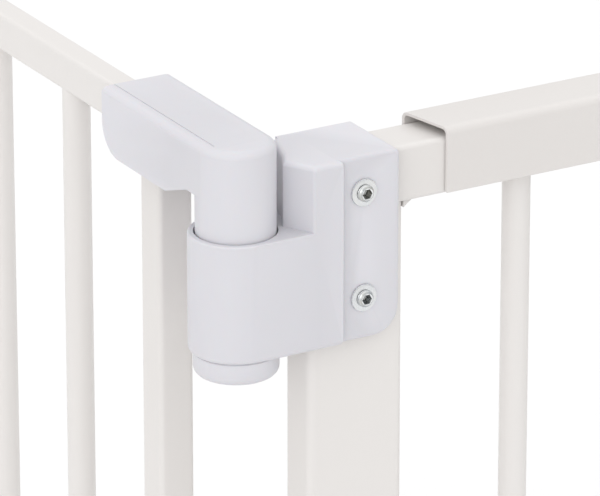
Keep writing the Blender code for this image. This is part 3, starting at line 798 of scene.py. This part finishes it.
def scalloped(radius, shrink, steps=120, grips=6, depth=0.0022):
    """The wheel's outline: a circle with smooth finger hollows."""
    turns = [math.tau * k / steps for k in range(steps)]
    reach = [radius - shrink - depth * (0.5 + 0.5 * math.cos(grips * a)) ** 2 for a in turns]
    return [Vector((math.cos(a), math.sin(a))) * r for a, r in zip(turns, reach)]


def wheel(node, face, outward):
    """The adjuster wheel: scalloped rim, recessed web on both faces, and a hub."""
    low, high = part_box(node)
    at = Vector((face, 0, (low.z + high.z) / 2))
    first = min(abs(low.x - face), abs(high.x - face))
    last = first + high.x - low.x
    radius, soft, bore, steps = (high.y - low.y) / 2, 0.0018, SPINDLE_HOLE, 120

    def ring(r, height):
        return circle(0, 0, r, steps), height

    turns = [math.pi / 2 * k / 5 for k in range(6)]
    web = ((bore + 0.0005, 0.0), (0.0083, 0.0), (0.0088, 0.0014), (0.0126, 0.0014), (0.0131, 0.0))
    rows = [ring(bore, first + 0.0005), *[ring(r, first + sunk) for r, sunk in web]]
    rows += [(scalloped(radius, soft * (1 - math.sin(a))), first + soft * (1 - math.cos(a))) for a in turns]
    rows += [(scalloped(radius, soft * (1 - math.cos(a))), last - soft * (1 - math.sin(a))) for a in turns]
    rows += [*[ring(r, last - sunk) for r, sunk in reversed(web)], ring(bore, last - 0.0005)]
    stand_for(node, loft(along((outward, 0, 0), at, rows), closed=True), "plastic", 40)


def spindle(node, face, outward, pitch=0.003, depth=0.0007):
    """A threaded rod with chamfered ends."""
    low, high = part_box(node)
    at = Vector((face, 0, (low.z + high.z) / 2))
    radius, half, steps, turn_steps = (high.z - low.z) / 2, (high.x - low.x) / 2, 36, 8
    count = int(2 * half / pitch * turn_steps)
    rows = []
    for k in range(count + 1):
        height = -half + 2 * half * k / count
        chamfer = radius - 0.0012 + min(half - abs(height), 0.0012)
        loop = []
        for j in range(steps):
            phase = (height / pitch - j / steps) % 1
            crest = min(1.0, 1.25 * abs(2 * phase - 1))
            reach = min(radius - depth * (1 - crest), chamfer)
            loop.append(Vector((math.cos(math.tau * j / steps), math.sin(math.tau * j / steps))) * reach)
        rows.append((loop, height))
    stand_for(node, loft(along((outward, 0, 0), at, rows)), "zinc", 60)


def cup(node, face, outward):
    """The rubber cup that presses on the wall, with grip rings on its face and a collar on the spindle."""
    low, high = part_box(node)
    at = Vector((face, 0, (low.z + high.z) / 2))
    radius, near = (high.z - low.z) / 2, min(abs(low.x - face), abs(high.x - face))
    far, bore, groove = near + high.x - low.x, 0.00505, 0.0006
    rings = []
    for r in (0.0060, 0.0095, 0.0130, 0.0165):
        rings += [(r, far, 0.0002), (r + 0.0004, far - groove, 0.0002), (r + 0.0010, far - groove, 0.0002),
                  (r + 0.0014, far, 0.0002)]
    profile = arcs([(0, far, 0), *rings, (radius, far, 0.0012), (radius, near + 0.0098, 0.0010),
                    (0.0085, near + 0.0050, 0.0025), (0.0085, near, 0.0008), (bore, near, 0.0003),
                    (bore, near + 0.0033, 0), (0, near + 0.0033, 0)], 4)
    stand_for(node, lathe([tuple(point) for point in profile], (outward, 0, 0), at, 72), "rubber")


def pressure_feet():
    for side, face, outward in (("latch_side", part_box("latch_post")[0].x, -1),
                                ("panel_side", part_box("wall_post")[1].x, 1)):
        for level in ("lower", "upper"):
            wheel(f"{side}_{level}_wheel", face, outward)
            spindle(f"{side}_{level}_spindle", face, outward)
            cup(f"{side}_{level}_cup", face, outward)


# ---- scene ------------------------------------------------------------------------------------------
AIM = Vector((0.0302, 0.0, 0.7068))  # the point on the frame's plane that the camera looks at
AIM_DISTANCE = 2.4573
CAMERA_AZIMUTH, CAMERA_ELEVATION = math.radians(-30.046), math.radians(21.602)
FLOOR_HALF = 60
HORIZON_LIGHT, ZENITH_LIGHT, SOFTBOX_LIGHT = 0.54, 1.42, 0.72


def camera():
    data = bpy.data.cameras.new("camera")
    data.lens = 360
    data.sensor_width = 36
    data.clip_end = 200
    eye = bpy.data.objects.new("camera", data)
    bpy.context.scene.collection.objects.link(eye)
    level = math.cos(CAMERA_ELEVATION)
    forward = Vector((-math.sin(CAMERA_AZIMUTH) * level, math.cos(CAMERA_AZIMUTH) * level,
                      -math.sin(CAMERA_ELEVATION)))
    eye.location = AIM - forward * AIM_DISTANCE
    eye.rotation_euler = (math.pi / 2 - CAMERA_ELEVATION, 0, CAMERA_AZIMUTH)
    bpy.context.scene.camera = eye


def floor():
    bpy.ops.mesh.primitive_plane_add(size=2 * FLOOR_HALF)
    ground = bpy.context.object
    ground.name = "studio_floor"
    surface = Surface("studio_paper")
    surface.dress(surface.blend(surface.noise(1.5, 2), (0.85, 0.85, 0.85), (0.87, 0.87, 0.87)),
                  surface.ramp(surface.noise(4, 2), 0.3, 0.7, 0.85, 0.95))
    ground.data.materials.append(surface.material)


def light():
    world = bpy.data.worlds.new("studio")
    world.use_nodes = True
    nodes, links = world.node_tree.nodes, world.node_tree.links
    split = nodes.new("ShaderNodeSeparateXYZ")
    links.new(nodes.new("ShaderNodeTexCoord").outputs["Generated"], split.inputs[0])
    height = nodes.new("ShaderNodeMapRange")
    height.inputs["To Min"].default_value = HORIZON_LIGHT
    height.inputs["To Max"].default_value = ZENITH_LIGHT
    links.new(split.outputs["Z"], height.inputs["Value"])
    links.new(height.outputs["Result"], nodes["Background"].inputs["Strength"])
    nodes["Background"].inputs["Color"].default_value = (1, 1, 1, 1)
    bpy.context.scene.world = world
    data = bpy.data.lights.new("softbox", "SUN")
    data.energy = SOFTBOX_LIGHT
    data.angle = math.radians(50)
    lamp = bpy.data.objects.new("softbox", data)
    bpy.context.scene.collection.objects.link(lamp)
    azimuth, elevation = math.radians(-48), math.radians(14)
    level = math.cos(elevation)
    towards = Vector((math.sin(azimuth) * level, -math.cos(azimuth) * level, math.sin(elevation)))
    lamp.rotation_euler = towards.to_track_quat("Z", "Y").to_euler()
    bpy.context.scene.view_settings.view_transform = "Standard"


camera()
floor()
light()
steel_frame()
posts()
channel("outer_top_channel", True)
channel("outer_bottom_channel", False)
upper_arm()
lower_arm()
bracket("upper", capped=True)
back_shell("upper")
bracket("lower", capped=False)
back_shell("lower")
end_cap()
hinge_pin()
fasteners()

keeper()
latch_housing()
latch_moving_parts()
post_plug("wall_post_cap", True)
post_plug("wall_post_foot", False)
pressure_feet()
